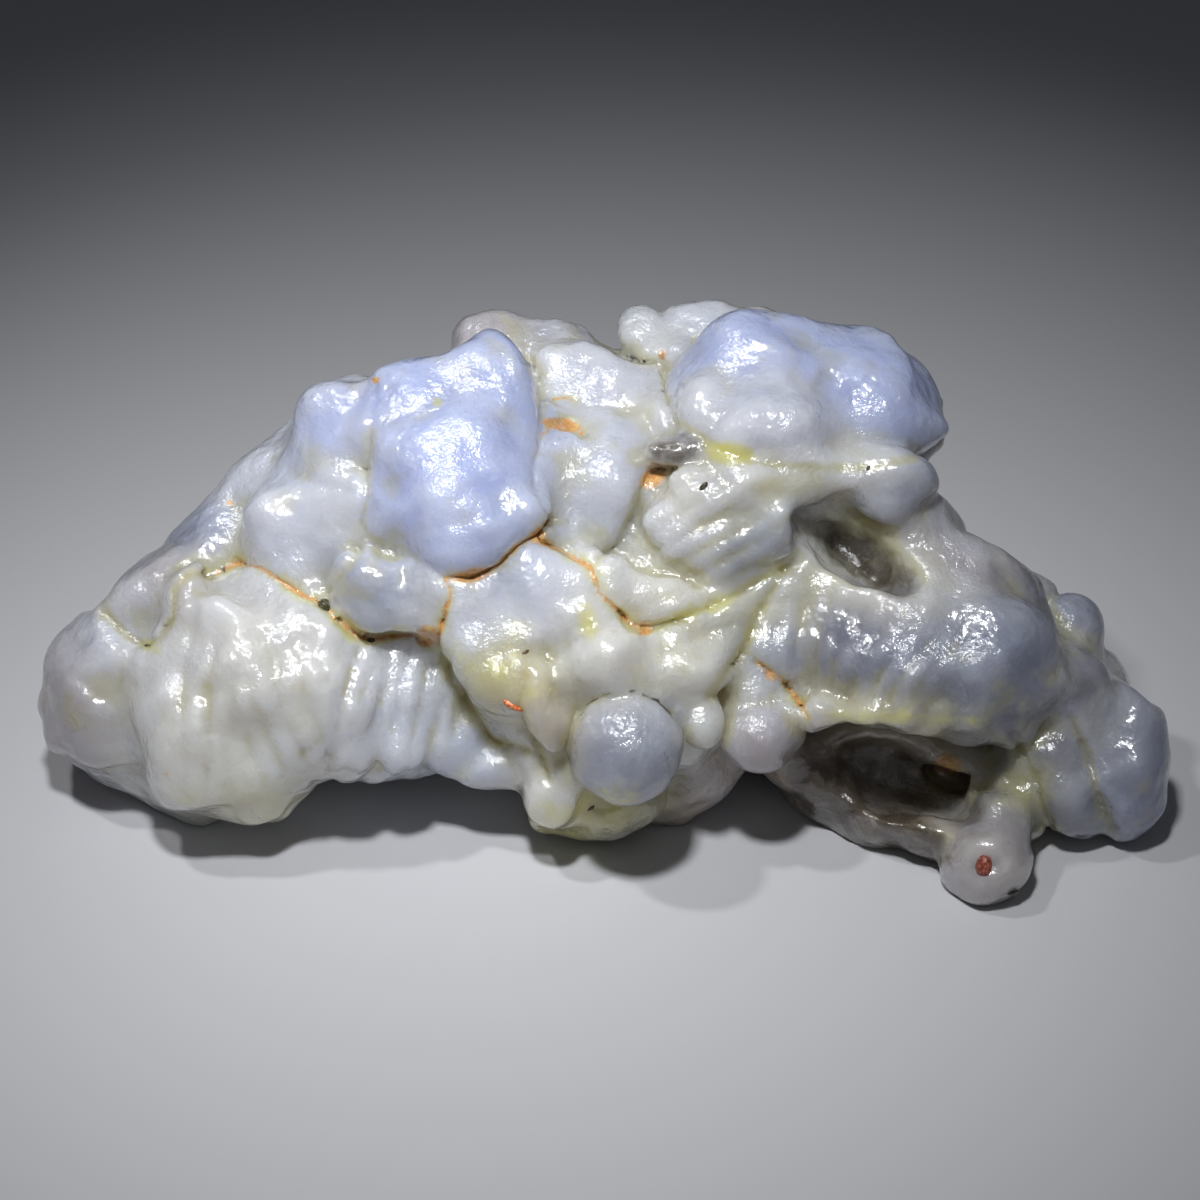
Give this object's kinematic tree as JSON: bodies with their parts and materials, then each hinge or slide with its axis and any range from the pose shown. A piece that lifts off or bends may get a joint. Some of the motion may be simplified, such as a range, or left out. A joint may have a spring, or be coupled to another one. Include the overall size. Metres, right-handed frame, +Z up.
{
  "type": "gobi agate nodule",
  "caption": "Free-standing gobi agate: one waxy, translucent milky stone of clustered rounded lobes over a low arch, with rust-coloured clay in its creases.",
  "frame": {"origin": "centre of the bounding box at the height of the table", "axes": "+Z up from the table, +X along the stone's length, -Y towards the side with the knobbly face and the arch"},
  "size_m": [0.045, 0.0214, 0.0185],
  "materials": {
    "agate": "waxy gloss, cloudy and slightly translucent, opaque at its full thickness"
  },
  "bodies": {
    "root": {"agate_nodule": "agate"}
  },
  "joints": []
}
